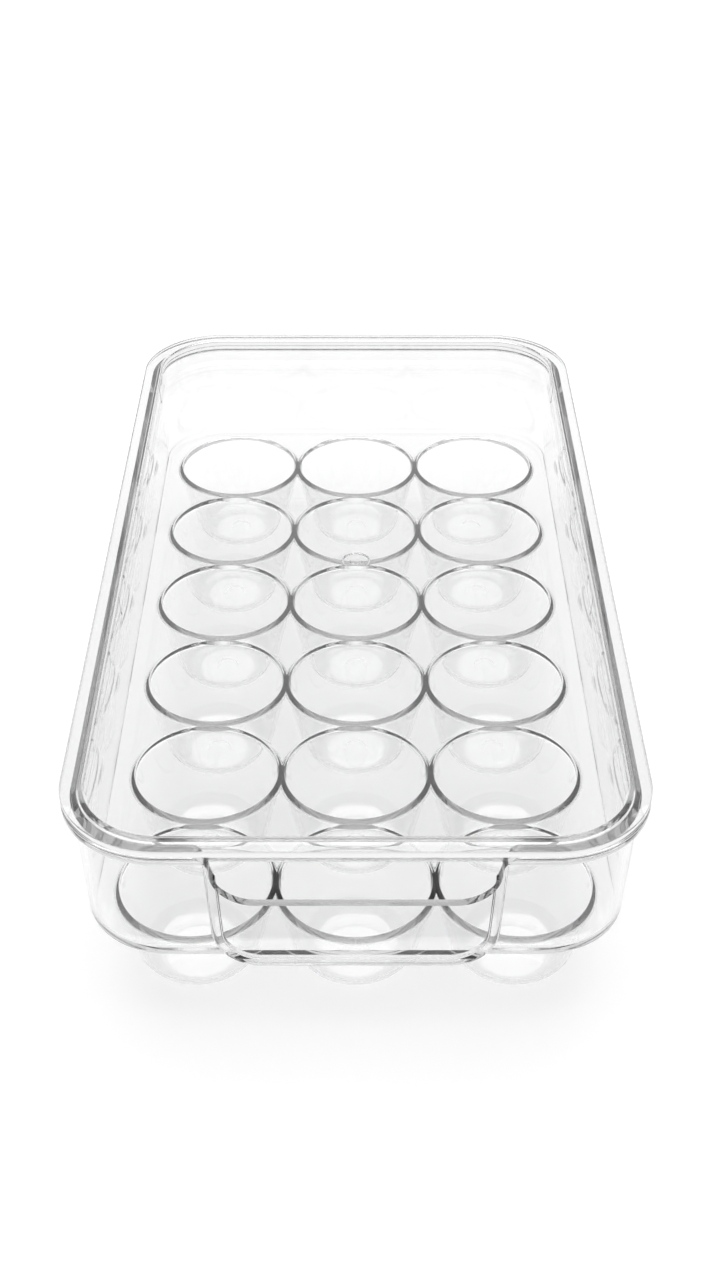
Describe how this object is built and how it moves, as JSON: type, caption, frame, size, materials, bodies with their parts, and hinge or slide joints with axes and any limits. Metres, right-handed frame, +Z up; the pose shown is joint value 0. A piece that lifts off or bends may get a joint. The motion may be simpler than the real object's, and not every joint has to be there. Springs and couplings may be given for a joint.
{
  "type": "lidded egg keeper",
  "caption": "Clear plastic egg tray standing on deep tapered cups, with rimmed walls, a front finger dip and handle panel, and a recessed lid that tips up at its back edge.",
  "frame": {"origin": "on the table, under the middle of the tray", "axes": "+Z up; +Y towards the back edge, where the lid tips; the handle is at -Y; +X to the right seen from the handle"},
  "size_m": [0.1718, 0.3218, 0.075],
  "materials": {
    "clear_tray": "clear, colourless, polished moulding",
    "clear_cup": "clear, colourless, polished moulding",
    "clear_lid": "clear, colourless, polished moulding"
  },
  "bodies": {
    "tray": {"tray_shell": "clear_tray", "egg_cup_row1_col1": "clear_cup", "egg_cup_row1_col2": "clear_cup", "egg_cup_row1_col3": "clear_cup", "egg_cup_row2_col1": "clear_cup", "egg_cup_row2_col2": "clear_cup", "egg_cup_row2_col3": "clear_cup", "egg_cup_row3_col1": "clear_cup", "egg_cup_row3_col2": "clear_cup", "egg_cup_row3_col3": "clear_cup", "egg_cup_row4_col1": "clear_cup", "egg_cup_row4_col2": "clear_cup", "egg_cup_row4_col3": "clear_cup", "egg_cup_row5_col1": "clear_cup", "egg_cup_row5_col2": "clear_cup", "egg_cup_row5_col3": "clear_cup", "egg_cup_row6_col1": "clear_cup", "egg_cup_row6_col2": "clear_cup", "egg_cup_row6_col3": "clear_cup"},
    "lid": {"lid": "clear_lid"}
  },
  "joints": [
    {"name": "lid_flip", "type": "hinge", "parent": "tray", "child": "lid", "pos_m": [0, 0.16094, 0.0723], "axis": [-1, 0, 0], "range_deg": [0, 100]}
  ]
}
